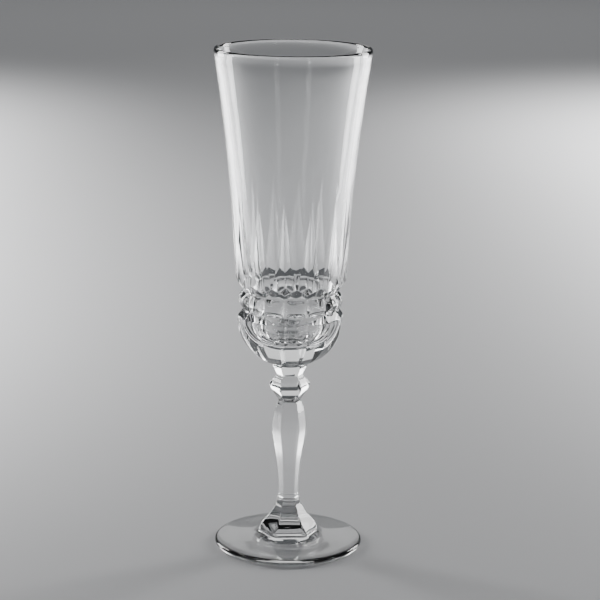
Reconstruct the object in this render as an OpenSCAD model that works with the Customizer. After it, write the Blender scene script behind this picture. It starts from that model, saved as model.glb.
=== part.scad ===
// Cut-crystal champagne flute, standing on the rest plane.
// Origin: centre of the foot's underside. +Z is up and is the axis of the glass.
// A bead of the waist ring faces -Y. The six-sided stem is turned a little against the beads.

/* [Overall] */
// Height from the rest plane to the lip
total_h = 200; // [196:1:206]
// Diameter over the lip
rim_d = 61.6; // [58:0.1:66]
// Diameter of the foot
foot_d = 59.2; // [54:0.1:66]

/* [Bowl] */
// Height at which the straight wall ends and the chamfer to the waist begins
waist_z = 109.3; // [108.5:0.1:110]
// Radius of the wall just above the waist
waist_r = 21.95; // [21.7:0.05:22.3]
// Wall thickness at the lip
rim_wall = 1.5; // [1.3:0.1:1.8]
// Wall thickness just above the waist
waist_wall = 2.6; // [2.4:0.1:2.8]
// Height of the inside bottom of the bowl
well_z = 85.2; // [84:0.2:87]

/* [Cuts and beads] */
// Number of cuts, beads and cup facets round the bowl (even)
flute_n = 14; // [12:2:16]
// Height at which the pointed cuts run out
cut_top_z = 154; // [145:1:165]
// Half angle that each side of a cut leans away from flat
cut_lean = 10.5; // [8:0.5:12]
// Width of the V between two beads
bead_gap = 1.8; // [1.2:0.1:2.2]

/* [Stem] */
// Circumradius of the knop at its widest
knop_r = 8.2; // [7.6:0.1:8.6]
// Circumradius of the stem at its belly
stem_belly_r = 7.05; // [6.5:0.05:7.5]
// Circumradius of the stem at its narrowest
stem_waist_r = 4.05; // [3.7:0.05:4.5]
// Turn of the stem about the axis, from a flat that faces -Y
stem_turn = -2.7; // [-12:0.1:12]

/* [Foot] */
// Thickness of the foot's edge
foot_edge = 2.3; // [2:0.1:2.8]
// Depth of the hollow under the foot
foot_hollow = 0.8; // [0.4:0.1:1.2]

/* [Hidden] */
$fn = 96;
glass = [0.86, 0.89, 0.91, 0.4];
reach = 40;              // longer than any radius of the glass
flare_steps = 10;        // straight bands in the flare of the wall
curve_steps = 5;         // straight bands between two stations of a curve

// Heights of the welds between the gathers
foot_top_z = 19.2;
stem_top_z = 59.4;
knop_top_z = 70.3;

// Waist: groove above the beads, beads, groove below them, acorn cup
groove_r = 18.76;
groove_z = 105.4;
bead_z = 101;
bead_ring_r = 16.1;      // radius of the circle that the bead section's centre runs on
bead_r = 4.4;            // radius of the bead section
cup_top_z = 97.2;
cup_z = 93.5;            // centre of the cup's elliptical section
cup_r = 21.05;
cup_h = 19.8;
cup_edge_r = 19.1;
funnel_top_z = 75.6;
funnel_top_r = 8.05;
funnel_tip_r = 5.3;

// ---- curves -------------------------------------------------------------

// Outer radius of the flared wall: a parabola from the waist to the lip
flare_z0 = 110.2;
lip_r = rim_wall / 2;
flare_h = total_h - lip_r - flare_z0;
function flare_u(z) = (z - flare_z0) / flare_h;
function flare_r(z) =
    let (u = max(0, flare_u(z))) waist_r + (rim_d / 2 - waist_r) * (0.39 * u + 0.61 * u * u);
function flare_slope(z) =
    (rim_d / 2 - waist_r) * (0.39 + 1.22 * flare_u(z)) / flare_h;
function wall(z) = waist_wall + (rim_wall - waist_wall) * max(0, flare_u(z));

// Smooth curve through stations [r, z], by cubic segments with shared slopes
function slope_at(p, i) =
    let (a = p[max(0, i - 1)], b = p[min(len(p) - 1, i + 1)]) (b[0] - a[0]) / (b[1] - a[1]);
function segment_r(p, i, t) =
    let (h = p[i + 1][1] - p[i][1], m0 = slope_at(p, i) * h, m1 = slope_at(p, i + 1) * h)
    (2 * pow(t, 3) - 3 * t * t + 1) * p[i][0] + (pow(t, 3) - 2 * t * t + t) * m0
    + (3 * t * t - 2 * pow(t, 3)) * p[i + 1][0] + (pow(t, 3) - t * t) * m1;
function smooth(p, n = curve_steps) = concat(
    [for (i = [0 : len(p) - 2], s = [0 : n - 1])
        [segment_r(p, i, s / n), p[i][1] + (p[i + 1][1] - p[i][1]) * s / n]],
    [p[len(p) - 1]]);

// Quarter of an ellipse from its equator (a = 0) to its pole (a = 90). Above a power of 2 its
// shoulder grows squarer.
function ellipse_point(r, h, z, a, power = 2) =
    [r * pow(cos(a), 2 / power), z - h * pow(sin(a), 2 / power)];

// ---- building blocks ----------------------------------------------------

// Solid with n equal sides whose outline over the corners is the list [r, z].
// It is what is common to n/2 slabs, and one of its flats faces -Y.
module faceted(n, outline) {
    flat = cos(180 / n);
    side = [for (p = outline) [p[0] * flat, p[1]]];
    mirrored = [for (i = [len(side) - 1 : -1 : 0]) [-side[i][0], side[i][1]]];
    intersection_for (k = [0 : n / 2 - 1])
        rotate([0, 0, k * 360 / n]) rotate([90, 0, 90])
            linear_extrude(height = 2 * reach, center = true) polygon(concat(side, mirrored));
}

// Six-sided solid, turned as the stem is
module hexagonal(outline) {
    rotate([0, 0, stem_turn]) faceted(6, outline);
}

// Copies round the axis, the first on -Y, each turned by a share of the pitch
module around(n, turn = 0) {
    for (k = [0 : n - 1]) rotate([0, 0, (k + turn) * 360 / n]) children();
}

// ---- bowl ---------------------------------------------------------------

// Outside of the flared wall as a solid of revolution, with a rounded lip
module flared_wall() {
    rotate_extrude() {
        polygon(concat(
            [[0, groove_z - 2], [waist_r, groove_z - 2]],
            [for (i = [0 : flare_steps])
                let (z = flare_z0 + flare_h * i / flare_steps) [flare_r(z), z]],
            [[0, total_h - lip_r]]));
        translate([rim_d / 2 - lip_r, total_h - lip_r]) circle(r = lip_r);
        translate([0, total_h - rim_wall]) square([rim_d / 2 - lip_r, rim_wall]);
    }
}

// One pointed V cut: its bottom line runs out where it meets the flared wall
module pointed_cut() {
    lean = atan(flare_slope(cut_top_z));
    clear = 0.03;        // the bottom line ends this far outside the wall
    length = (cut_top_z - groove_z + 3) / cos(lean);
    width = 9;
    translate([0, -flare_r(cut_top_z) - clear, cut_top_z]) rotate([lean, 0, 0])
        translate([0, 0, -length]) linear_extrude(height = length)
            polygon([[0, 0], [-width, -width * tan(cut_lean)], [-width, -width],
                     [width, -width], [width, -width * tan(cut_lean)]]);
}

// The chamfer under the wall: a flat over each bead, falling in to the groove
module chamfer() {
    corner = 1 / cos(180 / flute_n);
    fall = (waist_r - groove_r) / (waist_z - groove_z);
    over = 1.5;          // the flats run on past the wall, so that they cut it cleanly
    faceted(flute_n, [
        [0, groove_z - 1], [groove_r * corner, groove_z - 1], [groove_r * corner, groove_z],
        [(waist_r + over * fall) * corner, waist_z + over], [reach, waist_z + over],
        [reach, total_h + 1], [0, total_h + 1]]);
}

module fluted_wall() {
    difference() {
        intersection() {
            flared_wall();
            chamfer();
        }
        around(flute_n, 0.5) pointed_cut();
    }
}

// Pillow beads: a rounded ring with a V cut across it between each two
module beads() {
    difference() {
        rotate_extrude() {
            translate([bead_ring_r, bead_z]) circle(r = bead_r);
            translate([0, cup_top_z - 1]) square([groove_r, groove_z - cup_top_z + 1.5]);
        }
        around(flute_n, 0.5)
            translate([0, -groove_r, bead_z]) linear_extrude(height = 2 * bead_r, center = true)
                polygon([[0, 0], [-bead_gap, -2.6], [bead_gap, -2.6]]);
    }
}

// Acorn cup: flats between ridges that stand under the gaps of the beads
module cup() {
    last = 70;           // angle below the equator at which the funnel takes over
    faceted(flute_n, concat(
        [[0, cup_top_z], [cup_edge_r, cup_top_z], [cup_r - 0.1, cup_z + 1.3]],
        [for (a = [0 : 7 : last]) ellipse_point(cup_r, cup_h, cup_z, a)],
        [[0, cup_z - cup_h * sin(last)]]));
}

module funnel() {
    hexagonal([[0, funnel_top_z + 3], [funnel_top_r + 1.2, funnel_top_z + 3],
                [funnel_top_r, funnel_top_z], [funnel_tip_r, knop_top_z], [0, knop_top_z]]);
}

// Inside of the bowl, from a flattened round bottom to the lip
module cavity() {
    squareness = 2.8;
    throat = [[15.9, 99.5], [17.6, 105.5], [flare_r(113) - wall(113), 113]];
    upper = [for (i = [1 : flare_steps])
        let (z = flare_z0 + flare_h * i / flare_steps) [flare_r(z) - wall(z), z]];
    bottom = [for (a = [90, 84, 75, 60, 45, 30, 17, 7])
        ellipse_point(15.9, 99.5 - well_z, 99.5, a, squareness)];
    rotate_extrude() polygon(concat(
        bottom, smooth(throat), upper, [[rim_d / 2 - rim_wall, total_h + 1], [0, total_h + 1]]));
}

module bowl() {
    color(glass) difference() {
        union() {
            fluted_wall();
            beads();
            cup();
            funnel();
        }
        cavity();
    }
}

// ---- stem ---------------------------------------------------------------

module knop() {
    color(glass) hexagonal([
        [0, stem_top_z], [4.4, stem_top_z], [knop_r - 0.2, 65.3], [knop_r, 66.1], [knop_r - 0.15, 66.9],
        [knop_r - 0.75, 67.9], [6.5, 68.8], [5.65, 69.5], [funnel_tip_r + 0.1, knop_top_z],
        [0, knop_top_z]]);
}

module stem() {
    stations = [[4.15, foot_top_z], [stem_waist_r, 24], [4.9, 34.2], [6.5, 43.7],
                [stem_belly_r, 48.8], [6.25, 54.6], [4.6, stem_top_z]];
    color(glass) hexagonal(concat([[0, foot_top_z]], smooth(stations), [[0, stem_top_z]]));
}

// ---- foot ---------------------------------------------------------------

module collar() {
    stations = [[12.1, 5.2], [11.9, 6.8], [11.2, 8.3], [9.9, 9.7], [7.8, 11.9], [6.4, 13.9], [5.6, 15.6]];
    hexagonal(concat([[0, 3], [12.5, 3], [12.5, 4.3]], smooth(stations, 3),
                     [[4.8, 16.3], [4.75, foot_top_z], [0, foot_top_z]]));
}

module disc() {
    edge_r = foot_edge / 2;
    ring_r = foot_d / 2 - edge_r;          // where the rounded edge starts
    hollow_r = ring_r - 2.4;               // outside of the hollow, inside of the resting ring
    rotate_extrude() {
        polygon([[0, foot_hollow], [hollow_r * 0.5, foot_hollow * 0.85], [hollow_r, 0], [ring_r, 0],
                 [ring_r, foot_edge], [15, 3.5], [12, 4.2], [0, 4.2]]);
        translate([ring_r, edge_r]) circle(r = edge_r);
    }
}

module foot() {
    color(glass) union() {
        disc();
        collar();
    }
}

bowl();
knop();
stem();
foot();
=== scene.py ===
"""Looks of the cut-crystal champagne flute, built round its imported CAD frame.

Lengths are in millimetres and angles in radians, unless a name or comment says otherwise. The stage at
the end is in metres. An azimuth is counted from -Y towards +X. Every glass piece is one closed mesh of
rows of points. The knop and the stem run from weld to weld, the bowl from its weld up over the lip and
down to the bottom of the well, and the foot from its underside round the edge and up to its weld.
"""
import math

import bpy
import numpy as np
from mathutils import Matrix, Vector

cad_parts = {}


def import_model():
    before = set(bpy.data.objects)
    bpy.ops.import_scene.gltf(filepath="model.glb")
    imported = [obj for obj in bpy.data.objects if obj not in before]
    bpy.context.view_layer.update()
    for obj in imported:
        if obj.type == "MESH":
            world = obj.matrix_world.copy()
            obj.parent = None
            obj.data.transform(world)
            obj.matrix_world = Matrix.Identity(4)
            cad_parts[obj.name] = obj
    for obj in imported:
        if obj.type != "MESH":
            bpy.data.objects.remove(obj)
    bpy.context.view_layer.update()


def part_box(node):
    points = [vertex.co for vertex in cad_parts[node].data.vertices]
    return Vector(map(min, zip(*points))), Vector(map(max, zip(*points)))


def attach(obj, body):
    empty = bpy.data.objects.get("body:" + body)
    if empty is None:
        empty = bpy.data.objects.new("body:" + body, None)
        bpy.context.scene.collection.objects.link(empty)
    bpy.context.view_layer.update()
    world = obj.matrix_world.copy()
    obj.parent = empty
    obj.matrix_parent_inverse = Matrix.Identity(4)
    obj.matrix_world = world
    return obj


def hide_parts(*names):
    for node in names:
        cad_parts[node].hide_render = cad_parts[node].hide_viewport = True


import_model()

MM = 0.001


# ---- sizes --------------------------------------------------------------------------------------------

def span(node):
    """Lowest z, highest z and half width of a CAD node."""
    low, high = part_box(node)
    return low.z / MM, high.z / MM, (high.x - low.x) / 2 / MM


TIP_Z, LIP_Z, LIP_R = span("bowl")
STEM_Z0, STEM_Z1, _ = span("stem")
FOOT_R = span("foot")[2]

CUTS = 14
PITCH = 2 * math.pi / CUTS
HALF = PITCH / 2

# Wall of the bowl: its flare is a parabola from FLARE_Z up
WAIST_R, WAIST_Z = 21.95, 109.3
LIP_WALL, WAIST_WALL = 1.5, 2.6
FLARE_Z = 110.2
FLARE_HEIGHT = LIP_Z - LIP_WALL / 2 - FLARE_Z
FLARE_LINEAR, FLARE_SQUARE = 0.39, 0.61
LIP_FOOT_Z = LIP_Z - LIP_WALL

# Inside of the bowl: well, throat, and the height above which it follows the wall
WELL_Z, WELL_SQUARENESS = 85.2, 2.8
THROAT_R, THROAT_Z = 15.9, 99.5
NECK_R, NECK_Z = 17.6, 105.5
INNER_WALL_Z = 113

# Pointed cuts
CUT_TOP_Z, CUT_LEAN = 154.0, math.radians(10.5)
CUT_CLEARANCE = 0.03

# Waist: groove, beads, acorn cup, funnel
GROOVE_R, GROOVE_Z = 18.76, 105.4
BEAD_Z, BEAD_RING_R, BEAD_R = 101.0, 16.1, 4.4
BEAD_LOW_Z, BEAD_HIGH_Z = 97.37, 104.63
BEAD_WIDTH_SHARE = 0.94
BEAD_FLATNESS, BEAD_SIDE_POWER = 4, 0.6
CUP_Z, CUP_R, CUP_H = 93.5, 21.05, 19.8
CUP_EDGE_Z, CUP_EDGE_INSET = 94.8, 0.1
CUP_TOP_Z, CUP_TOP_R = 97.2, 19.1
FUNNEL_Z, FUNNEL_R, TIP_R = 75.6, 7.9, 5.15

# Heights at which the outside passes from one shape to the next
FUNNEL_END_Z, CUP_LEDGE_Z, WALL_START_Z = 80, 96, 104.7

# Reach of the fire-polished rounding at each kind of corner
CUT_LINE_ROUND, CUT_EDGE_ROUND = 0.02, 0.03
CHAMFER_ROUND, WAIST_ROUND, GROOVE_ROUND = 0.04, 0.1, 0.12
CUP_ROUND, CUP_EDGE_ROUND, ROOT_ROUND = 0.06, 0.3, 0.25

# Stem: it is turned a little against the beads, and its corners are rounded
KNOP_FOOT_R, STEM_FOOT_R = 4.25, 4.0
STEM_TURN = math.radians(-2.7)
CORNER_R = 1.0

# Foot: disc with a rounded edge and a hollow underneath, and the base of the collar
EDGE_R = 1.15
RESTING_RING = 2.4
HOLLOW_DEPTH = 0.8
APRON_R, APRON_Z = 15, 3.5
BASE_R, BASE_Z = 12, 4.3
BASE_CORNER_R = 3.2
BASE_CORNER_Z, PLAIN_CORNER_Z = 5, 11


# ---- curves and blends --------------------------------------------------------------------------------

def smooth_min(a, b, k):
    """Smaller of a and b, with the corner between them rounded over k."""
    h = np.clip(0.5 + 0.5 * (b - a) / k, 0, 1)
    return b + (a - b) * h - k * h * (1 - h)


def smooth_max(a, b, k):
    return -smooth_min(-np.asarray(a), -np.asarray(b), k)


def flare_u(z):
    return np.maximum(0, (z - FLARE_Z) / FLARE_HEIGHT)


def flare(z):
    """Radius of the plain outer wall."""
    u = flare_u(z)
    return WAIST_R + (LIP_R - WAIST_R) * (FLARE_LINEAR * u + FLARE_SQUARE * u * u)


def curve(stations, steps):
    """Smooth curve through stations [radius, z], as a CAD outline of the same stations runs."""
    p = np.array(stations, float)
    n = len(p)
    slope = []
    for i in range(n):
        before, after = p[max(0, i - 1)], p[min(n - 1, i + 1)]
        slope.append((after[0] - before[0]) / (after[1] - before[1]))
    out = []
    for i in range(n - 1):
        h = p[i + 1, 1] - p[i, 1]
        for t in np.arange(steps) / steps:
            r = ((2 * t**3 - 3 * t * t + 1) * p[i, 0] + (t**3 - 2 * t * t + t) * slope[i] * h
                 + (3 * t * t - 2 * t**3) * p[i + 1, 0] + (t**3 - t * t) * slope[i + 1] * h)
            out.append((r, p[i, 1] + h * t))
    return out + [tuple(p[-1])]


def rounded(outline, radius, steps=4):
    """The outline with each inner corner replaced by a short arc-like curve of about that radius."""
    p = [np.array(q, float) for q in outline]
    out = [tuple(p[0])]
    for before, here, after in zip(p, p[1:], p[2:]):
        a, b = before - here, after - here
        reach_a, reach_b = np.linalg.norm(a), np.linalg.norm(b)
        reach = min(radius, 0.45 * reach_a, 0.45 * reach_b)
        start = here + a / reach_a * reach
        end = here + b / reach_b * reach
        for t in np.linspace(0, 1, steps + 1):
            out.append(tuple((1 - t)**2 * start + 2 * t * (1 - t) * here + t * t * end))
    return out + [tuple(p[-1])]


def crossing(f, low, high):
    """Height between low and high at which f changes sign, for each column."""
    low, high = np.array(low, float), np.array(high, float)
    sign = np.sign(f(low))
    for _ in range(40):
        mid = (low + high) / 2
        same = np.sign(f(mid)) == sign
        low, high = np.where(same, mid, low), np.where(same, high, mid)
    return (low + high) / 2


def over_flats(distance, beta, k):
    """Radius of a 14-sided outline whose flats lie at that distance, at an angle beta from a corner."""
    return smooth_min(distance / np.cos(HALF - beta), distance / np.cos(HALF + beta), k)


def hex_radius(azimuth, reach, corner=CORNER_R):
    """Radius of a hexagon that reaches that far at its corners, which are rounded."""
    sixth = math.pi / 6
    off = np.abs((azimuth - STEM_TURN + sixth) % (2 * sixth) - sixth)
    inner = reach - corner
    flat = inner * math.cos(sixth) + corner
    side = np.sin(sixth - off) * inner
    arc = inner * np.cos(sixth - off) + np.sqrt(np.maximum(0, np.square(corner) - side * side))
    return np.where(flat * np.tan(off) < inner / 2, flat / np.cos(off), arc)


# ---- outside of the bowl ------------------------------------------------------------------------------
# beta is the angle from the bottom line of the nearest cut, which stands over the gap between two beads.

CUT_DEPTH_R = float(flare(CUT_TOP_Z)) + CUT_CLEARANCE
CUT_SLOPE = ((LIP_R - WAIST_R) * (FLARE_LINEAR + 2 * FLARE_SQUARE * float(flare_u(CUT_TOP_Z)))
             / FLARE_HEIGHT)
CHAMFER_FALL = (WAIST_R - GROOVE_R) / (WAIST_Z - GROOVE_Z)
NO_CUT = 99              # farther out than the wall ever is


def cut_bottom(z):
    """Distance of a cut's bottom line from the axis."""
    return CUT_DEPTH_R - CUT_SLOPE * (CUT_TOP_Z - z)


def cut_edge(z):
    """Angle between the bottom line of a cut and its edge, or 0 above its point."""
    q = np.minimum(1, cut_bottom(z) / flare(z) * math.cos(CUT_LEAN))
    return np.maximum(0, np.arccos(q) - CUT_LEAN)


def cut_side(beta, z):
    return cut_bottom(z) / (np.cos(beta) - math.tan(CUT_LEAN) * np.sin(beta))


def wall(beta, z):
    """Outer wall with its cuts."""
    cut = smooth_max(cut_side(beta, z), cut_side(-beta, z), CUT_LINE_ROUND)
    cut = np.where(z > CUT_TOP_Z - 1, NO_CUT, cut)
    return smooth_min(flare(z), cut, CUT_EDGE_ROUND)


def chamfer(beta, z):
    """Flat under each column of the wall, falling in to the groove."""
    return over_flats(GROOVE_R + CHAMFER_FALL * (z - GROOVE_Z), beta, CHAMFER_ROUND)


def bead(beta, z):
    """Pillow beads with nearly flat faces and steep sides."""
    ring_r = BEAD_RING_R + np.sqrt(np.maximum(0, BEAD_R**2 - (z - BEAD_Z)**2))
    across = np.clip((HALF - beta) / (HALF * BEAD_WIDTH_SHARE), 0, 1)
    pillow = (1 - across**BEAD_FLATNESS) ** BEAD_SIDE_POWER
    return GROOVE_R + (ring_r - GROOVE_R) * pillow


def cup(beta, z):
    """Acorn cup with a flat under each bead."""
    edge_r = CUP_R - CUP_EDGE_INSET
    shoulder = edge_r + (z - CUP_EDGE_Z) * (CUP_TOP_R - edge_r) / (CUP_TOP_Z - CUP_EDGE_Z)
    body = CUP_R * np.sqrt(np.clip(1 - (np.minimum(z - CUP_Z, 0) / CUP_H)**2, 0, 1))
    return over_flats(smooth_min(shoulder, body, CUP_EDGE_ROUND) * math.cos(HALF), beta, CUP_ROUND)


def funnel(azimuth, z):
    return hex_radius(azimuth, TIP_R + (z - TIP_Z) * (FUNNEL_R - TIP_R) / (FUNNEL_Z - TIP_Z))


def outside(azimuth, beta, z):
    """Outer radius of the bowl at an azimuth and height."""
    low = smooth_max(cup(beta, z), np.where(z < FUNNEL_END_Z, funnel(azimuth, z), 0), ROOT_ROUND)
    low = np.where(z > CUP_LEDGE_Z, smooth_max(low, GROOVE_R, GROOVE_ROUND), low)
    middle = smooth_max(bead(beta, z), GROOVE_R, GROOVE_ROUND)
    high = smooth_min(wall(beta, z), chamfer(beta, z), WAIST_ROUND)
    high = smooth_max(high, GROOVE_R, GROOVE_ROUND)
    return np.where(z < BEAD_LOW_Z, low, np.where(z < WALL_START_Z, middle, high))


# ---- rows and meshes ----------------------------------------------------------------------------------

def ring(azimuth, r, z):
    """One row of points. r and z may be numbers or one value a column."""
    r, z = np.broadcast_to(r, azimuth.shape), np.broadcast_to(z, azimuth.shape)
    return np.stack([r * np.sin(azimuth), -r * np.cos(azimuth), z], 1)


def pole(z):
    return np.array([[0, 0, z]])


def band(a, b, low, high):
    """Faces between two rows whose first points are a and b. A row of one point is a pole."""
    i = np.arange(max(len(low), len(high)))
    j = (i + 1) % len(i)
    if len(low) == 1:
        return [(a, b + q, b + p) for p, q in zip(i, j)]
    if len(high) == 1:
        return [(a + p, a + q, b) for p, q in zip(i, j)]
    return [(a + p, a + q, b + q, b + p) for p, q in zip(i, j)]


def lofted(name, rows):
    """Closed mesh from rows of points. An end that isn't a pole gets a flat weld, the second material."""
    weld_below, weld_above = len(rows[0]) > 1, len(rows[-1]) > 1
    if weld_below:
        rows = [rows[0].mean(axis=0, keepdims=True)] + rows
    if weld_above:
        rows = rows + [rows[-1].mean(axis=0, keepdims=True)]
    points = np.concatenate(rows) * MM
    starts = np.cumsum([0] + [len(row) for row in rows])
    faces = []
    for a, b, low, high in zip(starts, starts[1:], rows, rows[1:]):
        faces += band(a, b, low, high)
    first = len(rows[1]) if weld_below else 0
    last = len(faces) - (len(rows[-2]) if weld_above else 0)
    mesh = bpy.data.meshes.new(name)
    mesh.from_pydata([tuple(p) for p in points], [], [tuple(int(v) for v in f) for f in faces])
    for i, polygon in enumerate(mesh.polygons):
        side = first <= i < last
        polygon.use_smooth = side
        polygon.material_index = 0 if side else 1
    mesh.validate()
    piece = bpy.data.objects.new(name, mesh)
    bpy.context.scene.collection.objects.link(piece)
    return piece


def clustered(low, high, count, near, far):
    """Heights from low to high, with extra rows near and far from each end, where a corner is rounded."""
    inner = np.linspace(0, 1, count + 2)[1:-1]
    rows = [low, low + near, low + far]
    rows += [low + far + (high - low - 2 * far) * t for t in inner]
    return rows + [high - far, high - near]


# ---- bowl ---------------------------------------------------------------------------------------------

# Angle from a cut's bottom line at which its columns run out, above its point: narrow, then wide
NARROW, WIDE = math.radians(0.35), math.radians(7)
WIDENING_HEIGHT = 16
POINT_Z = float(crossing(lambda z: cut_bottom(z) - flare(z), [140.0], [152.0])[0])


def bowl_columns(edge):
    """Angles of half a pitch from a cut's bottom line, closest together at the cut's edge."""
    # Three close columns stand where a corner of the funnel falls, but for the turn of the stem
    funnel_corner = (HALF - PITCH / 6) / float(cut_edge(WAIST_Z))
    inner = np.array([0, 0.012, 0.035, 0.08, 0.16, 0.28, 0.41, 0.54, 0.66,
                      funnel_corner - 0.02, funnel_corner, funnel_corner + 0.02, 0.86])
    near = np.radians([-0.3, -0.12, 0, 0.12, 0.3]) * min(1, edge / math.radians(1.5))
    last = edge + near[-1]
    outer = last + (HALF - last) * np.array([0.3, 0.62, 1])
    return np.concatenate([inner * (edge + near[0]), edge + near, outer])


def full_turn(half):
    """Azimuths of all columns and their angles from the nearest cut, from those of half a pitch."""
    azimuths, betas = [], []
    for k in range(CUTS):
        border = (k + 0.5) * PITCH
        azimuths += [border + half, border + PITCH - half[-2:0:-1]]
        betas += [half, half[-2:0:-1]]
    return np.concatenate(azimuths), np.concatenate(betas)


def carved_rows(azimuth, beta):
    """Rows of the funnel, cup, beads and chamfer, and the height of the wall's foot in each column."""
    def find(f, below, above):
        """Height of a line between two heights that it is sure to lie between."""
        return crossing(f, np.full(len(beta), below), np.full(len(beta), above))

    root = find(lambda z: cup(beta, z) - funnel(azimuth, z), 73.8, 79.0)
    low = find(lambda z: chamfer(beta, z) - GROOVE_R, 104.0, 106.0)
    high = find(lambda z: chamfer(beta, z) - np.minimum(flare(z), cut_side(beta, z)), 105.0, 110.5)
    heights = [TIP_Z] + clustered(TIP_Z, root, 5, 0.1, 0.3)[1:]
    heights += clustered(root, CUP_EDGE_Z, 18, 0.1, 0.3)
    heights += clustered(CUP_EDGE_Z, BEAD_LOW_Z, 3, 0.1, 0.3)
    heights += clustered(BEAD_LOW_Z, BEAD_HIGH_Z, 16, 0.05, 0.15)
    heights += clustered(BEAD_HIGH_Z, low, 0, 0.04, 0.1)
    heights += clustered(low, high, 5, 0.05, 0.15)
    heights = [np.broadcast_to(z, azimuth.shape) for z in heights]
    return [ring(azimuth, outside(azimuth, beta, z), z) for z in heights], high


def cut_wall_rows(wall_foot):
    """Rows from the wall's foot to the points of the cuts, with columns that follow the cuts' edges."""
    rows = []
    for t in [0, 0.0014, 0.004] + list(np.linspace(0, 1, 19)[1:]):
        z = wall_foot + (POINT_Z - wall_foot) * t
        edge = float(cut_edge(WAIST_Z + (POINT_Z - WAIST_Z) * t))
        azimuth, beta = full_turn(bowl_columns(max(NARROW, edge)))
        rows.append(ring(azimuth, outside(azimuth, beta, z), z))
    return rows


def plain_columns(z):
    """Azimuths of the columns above the cuts, which spread out evenly with height."""
    spread = min(1, (z - POINT_Z) / WIDENING_HEIGHT)
    return full_turn(bowl_columns(NARROW + (WIDE - NARROW) * spread * spread * (3 - 2 * spread)))[0]


def inside():
    """Inside of the bowl, from the lip down to the middle of the well, as [radius, z]."""
    upper = []
    for z in np.linspace(LIP_FOOT_Z, INNER_WALL_Z, 12):
        thickness = WAIST_WALL + (LIP_WALL - WAIST_WALL) * float(flare_u(z))
        upper.append((float(flare(z)) - thickness, z))
    throat = curve([(THROAT_R, THROAT_Z), (NECK_R, NECK_Z), upper[-1]], 5)[::-1]
    depth = THROAT_Z - WELL_Z
    power = 2 / WELL_SQUARENESS
    bottom = [(THROAT_R * max(0, math.cos(t)) ** power, THROAT_Z - depth * math.sin(t) ** power)
              for t in np.linspace(0, math.pi / 2, 16)]
    return upper + throat[1:] + bottom[1:]


def bowl():
    azimuth, beta = full_turn(bowl_columns(float(cut_edge(WAIST_Z))))
    rows, wall_foot = carved_rows(azimuth, beta)
    rows += cut_wall_rows(wall_foot)
    for t in np.linspace(0, 1, 17)[1:]:
        z = POINT_Z + (LIP_FOOT_Z - POINT_Z) * t
        rows.append(ring(plain_columns(z), flare(z), z))
    azimuth = plain_columns(LIP_FOOT_Z)
    lip_centre = float(flare(LIP_FOOT_Z)) - LIP_WALL / 2
    for t in np.linspace(0, math.pi, 11)[1:]:
        z = LIP_FOOT_Z + (LIP_Z - LIP_FOOT_Z) * math.sin(t)
        rows.append(ring(azimuth, lip_centre + LIP_WALL / 2 * math.cos(t), z))
    inner = inside()
    rows += [ring(azimuth, r, z) for r, z in inner[1:-1]]
    return lofted("crystal_bowl", rows + [pole(inner[-1][1])])


# ---- knop, stem and foot ------------------------------------------------------------------------------

HEX_HALF = np.radians([0, 8, 15, 20, 22.5, 24.3, 25.8, 27, 28, 29, 30])
HEX = STEM_TURN + np.concatenate([
    np.concatenate([k * math.pi / 3 + HEX_HALF, (k + 1) * math.pi / 3 - HEX_HALF[-2:0:-1]])
    for k in range(6)])


def hex_rows(outline):
    return [ring(HEX, hex_radius(HEX, r), z) for r, z in outline]


def knop():
    outline = [(KNOP_FOOT_R, STEM_Z1), (7.83, 65.2), (8.03, 66.1), (7.88, 66.9), (7.3, 67.9),
               (6.4, 68.8), (5.5, 69.5), (TIP_R, TIP_Z)]
    return lofted("crystal_knop", hex_rows(rounded(outline, 0.4)))


def stem():
    stations = [(STEM_FOOT_R, STEM_Z0), (3.9, 24), (4.75, 34.2), (6.35, 43.7), (6.92, 48.8),
                (6.1, 54.6), (4.5, STEM_Z1 - 0.15)]
    return lofted("crystal_stem", hex_rows(curve(stations, 9) + [(KNOP_FOOT_R, STEM_Z1)]))


def disc_rows():
    """Rows from the middle of the hollow, round the edge and over the disc, up to the collar's base."""
    edge_centre = FOOT_R - EDGE_R
    hollow_r = edge_centre - RESTING_RING
    rows = [pole(HOLLOW_DEPTH)]
    for t in np.linspace(0, 1, 12)[1:]:
        rows.append(ring(HEX, hollow_r * t, HOLLOW_DEPTH * (1 - t * t)))
    rows.append(ring(HEX, edge_centre, 0))
    for t in np.linspace(-math.pi / 2, math.pi / 2, 11)[1:]:
        rows.append(ring(HEX, edge_centre + EDGE_R * math.cos(t), EDGE_R + EDGE_R * math.sin(t)))
    disc = curve([(APRON_R, APRON_Z), (22, 2.85), (edge_centre, 2 * EDGE_R)], 6)
    rows += [ring(HEX, r, z) for r, z in disc[-2:0:-1]]
    for t in np.linspace(0, 1, 8)[:-1]:
        rows.append(ring(HEX, APRON_R + (BASE_R - APRON_R) * t, APRON_Z + (BASE_Z - APRON_Z) * t * t))
    return rows


def collar_corner(r, z):
    """Rounding of the collar's corners: round at the base, then ever sharper on the way up."""
    share = min(1, max(0, (PLAIN_CORNER_Z - z) / (PLAIN_CORNER_Z - BASE_CORNER_Z)))
    base_share = max(0, (BASE_CORNER_Z - z) / (BASE_CORNER_Z - BASE_Z))
    return CORNER_R + (BASE_CORNER_R - CORNER_R) * share**2 + (r - BASE_CORNER_R) * base_share**2


def foot():
    collar = curve([(BASE_R, BASE_Z), (11.6, 5.3), (11.4, 6.8), (10.7, 8.3), (9.5, 9.7), (7.6, 11.9),
                    (6.25, 13.9), (5.45, 15.6)], 5)
    collar += [(4.7, 16.3), (4.6, STEM_Z0 - 0.1), (STEM_FOOT_R, STEM_Z0)]
    rows = disc_rows()
    for r, z in rounded(collar, 0.2):
        rows.append(ring(HEX, hex_radius(HEX, r, collar_corner(r, z)), z))
    return lofted("crystal_foot", rows)


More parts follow.
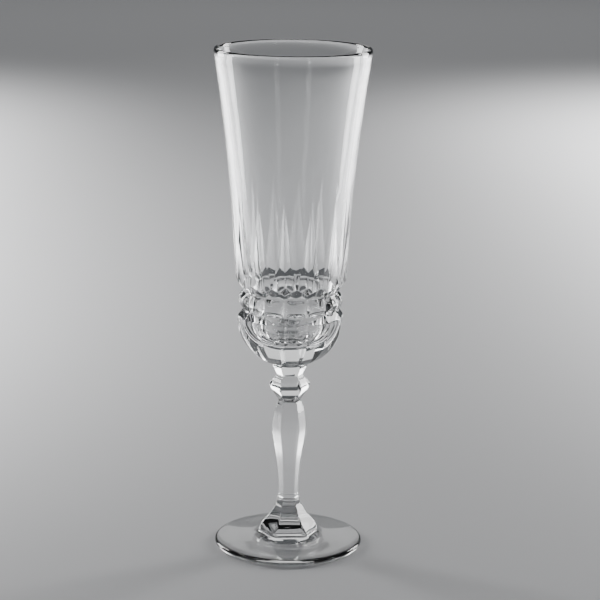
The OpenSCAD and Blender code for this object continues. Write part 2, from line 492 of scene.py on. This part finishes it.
# ---- glass --------------------------------------------------------------------------------------------

CRYSTAL_IOR = 1.53
CRYSTAL_TINT = (0.985, 0.99, 0.992, 1)


def new_material(name):
    material = bpy.data.materials.new(name)
    material.use_nodes = True
    nodes, links = material.node_tree.nodes, material.node_tree.links
    nodes.clear()
    return material, nodes, links


def crystal(name, wave_length, wave_height, roughest):
    """Clear crystal with faint waves of the surface and a polish that varies from clear to roughest."""
    material, nodes, links = new_material(name)
    output = nodes.new("ShaderNodeOutputMaterial")
    shader = nodes.new("ShaderNodeBsdfPrincipled")
    shader.inputs["Base Color"].default_value = CRYSTAL_TINT
    shader.inputs["IOR"].default_value = CRYSTAL_IOR
    shader.inputs["Transmission Weight"].default_value = 1
    place = nodes.new("ShaderNodeTexCoord")
    noise = nodes.new("ShaderNodeTexNoise")
    noise.inputs["Scale"].default_value = 1 / (wave_length * MM)
    noise.inputs["Detail"].default_value = 1
    polish = nodes.new("ShaderNodeMapRange")
    polish.inputs["To Min"].default_value = 0
    polish.inputs["To Max"].default_value = roughest
    bump = nodes.new("ShaderNodeBump")
    bump.inputs["Strength"].default_value = 1
    bump.inputs["Distance"].default_value = wave_height * MM
    links.new(place.outputs["Object"], noise.inputs["Vector"])
    links.new(noise.outputs["Fac"], polish.inputs["Value"])
    links.new(noise.outputs["Fac"], bump.inputs["Height"])
    links.new(polish.outputs["Result"], shader.inputs["Roughness"])
    links.new(bump.outputs["Normal"], shader.inputs["Normal"])
    links.new(shader.outputs["BSDF"], output.inputs["Surface"])
    return material


def weld_material():
    """The weld between two gathers: the glass is one there, so nothing is seen."""
    material, nodes, links = new_material("weld")
    output = nodes.new("ShaderNodeOutputMaterial")
    clear = nodes.new("ShaderNodeBsdfTransparent")
    links.new(clear.outputs["BSDF"], output.inputs["Surface"])
    return material


weld = weld_material()
bowl_glass = crystal("bowl_crystal", wave_length=9, wave_height=0.03, roughest=0.02)
stem_glass = crystal("stem_crystal", wave_length=7, wave_height=0.01, roughest=0.02)
foot_glass = crystal("foot_crystal", wave_length=12, wave_height=0.03, roughest=0.03)

for piece, node, slot, glass in (
    (bowl(), "bowl", "bowl_crystal", bowl_glass),
    (knop(), "knop", "stem_crystal", stem_glass),
    (stem(), "stem", "stem_crystal", stem_glass),
    (foot(), "foot", "foot_crystal", foot_glass),
):
    piece.data.materials.append(glass)
    piece.data.materials.append(weld)
    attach(piece, "root")
    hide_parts(node)


# ---- stage, in metres: pale floor, soft light, camera -------------------------------------------------

FLOOR_HALF = 6.0
FLOOR_Z = -0.0003        # a hair below the foot, so that light gets in under the resting ring
FLOOR_COLOUR = (0.6, 0.6, 0.61, 1)

CAMERA_HEIGHT, CAMERA_DISTANCE = 0.2881, 0.7939
CAMERA_TURN, CAMERA_PITCH, CAMERA_ROLL = map(math.radians, (6.3, 13.302, 0.63))
FILM_WIDTH, FOCAL_LENGTH = 36, 124.02


def floor():
    mesh = bpy.data.meshes.new("floor")
    corners = [(x * FLOOR_HALF, y * FLOOR_HALF, FLOOR_Z) for x, y in ((-1, -1), (1, -1), (1, 1), (-1, 1))]
    mesh.from_pydata(corners, [], [(0, 1, 2, 3)])
    plane = bpy.data.objects.new("floor", mesh)
    bpy.context.scene.collection.objects.link(plane)
    material, nodes, links = new_material("pale_floor")
    output = nodes.new("ShaderNodeOutputMaterial")
    shader = nodes.new("ShaderNodeBsdfPrincipled")
    shader.inputs["Base Color"].default_value = FLOOR_COLOUR
    shader.inputs["Roughness"].default_value = 0.6
    links.new(shader.outputs["BSDF"], output.inputs["Surface"])
    mesh.materials.append(material)


def softbox(name, place, target, size, power, spread=180):
    """Area light. Places are given as seen along the camera's direction: x to the right, y away."""
    turn = Matrix.Rotation(-CAMERA_TURN, 4, "Z")
    place, target = turn @ Vector(place), turn @ Vector(target)
    lamp = bpy.data.lights.new(name, "AREA")
    lamp.shape = "RECTANGLE"
    lamp.size, lamp.size_y = size
    lamp.energy = power
    lamp.spread = math.radians(spread)
    light = bpy.data.objects.new(name, lamp)
    light.location = place
    light.rotation_euler = (target - place).to_track_quat("-Z", "Y").to_euler()
    bpy.context.scene.collection.objects.link(light)


def studio_lights():
    """A strip and a pool of light on the floor at each side, and a broad light behind."""
    glass = (0, 0, 0.1)
    for side, name in ((-1, "left"), (1, "right")):
        x = side * 0.56
        softbox(name, (side * 0.9, 0.7, 0.35), glass, size=(0.35, 0.8), power=12)
        softbox(name + "_pool", (x, 0.7, 0.5), (x, 0.7, 0), size=(0.25, 1.2), power=14, spread=90)
    softbox("back", (0, 2.6, 1.3), (0, 0.6, 0), size=(3.0, 1.2), power=11)


def world(strength):
    studio = bpy.data.worlds.new("studio")
    studio.use_nodes = True
    background = studio.node_tree.nodes["Background"]
    background.inputs["Color"].default_value = (0.9, 0.95, 1, 1)
    background.inputs["Strength"].default_value = strength
    bpy.context.scene.world = studio


def camera():
    """Long lens, a little above the lip, turned so that the bead on -Y is just right of the middle."""
    lens = bpy.data.cameras.new("camera")
    lens.sensor_width = FILM_WIDTH
    lens.lens = FOCAL_LENGTH
    lens.shift_x = 0.0157
    eye = bpy.data.objects.new("camera", lens)
    turned = (Matrix.Rotation(-CAMERA_TURN, 4, "Z") @ Matrix.Rotation(math.pi / 2 - CAMERA_PITCH, 4, "X")
              @ Matrix.Rotation(CAMERA_ROLL, 4, "Z"))
    place = (-CAMERA_DISTANCE * math.sin(CAMERA_TURN), -CAMERA_DISTANCE * math.cos(CAMERA_TURN),
             CAMERA_HEIGHT)
    eye.matrix_world = Matrix.Translation(place) @ turned
    bpy.context.scene.collection.objects.link(eye)
    bpy.context.scene.camera = eye


floor()
studio_lights()
world(0.1)
camera()
